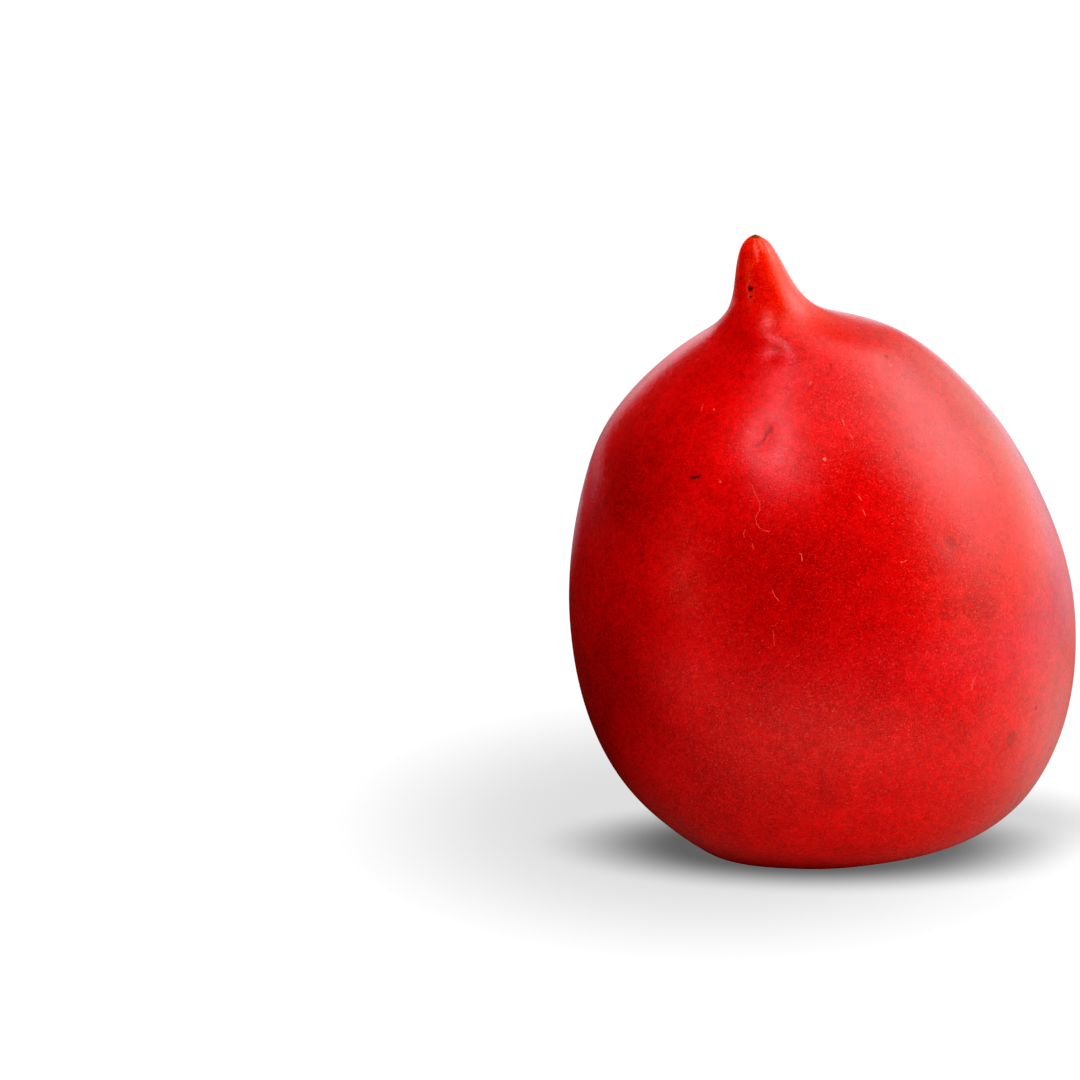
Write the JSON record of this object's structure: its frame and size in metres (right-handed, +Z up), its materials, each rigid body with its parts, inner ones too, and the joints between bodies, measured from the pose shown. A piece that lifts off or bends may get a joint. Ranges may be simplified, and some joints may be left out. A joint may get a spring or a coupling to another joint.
{
  "type": "principe borghese tomato",
  "caption": "Small egg-shaped plum tomato with a pointed beak at the blossom end, picked without its calyx, resting on its stalk end.",
  "frame": {"origin": "middle of the underside of the fruit's box, on the surface that it rests on", "axes": "+Z up through the fruit towards its beak, -Y towards the side that the picture shows, +X to the right in that view, away from the side the beak leans to"},
  "size_m": [0.0382, 0.0374, 0.048],
  "materials": {
    "skin": "satin, waxy tomato skin"
  },
  "bodies": {
    "root": {"tomato": "skin"}
  },
  "joints": []
}
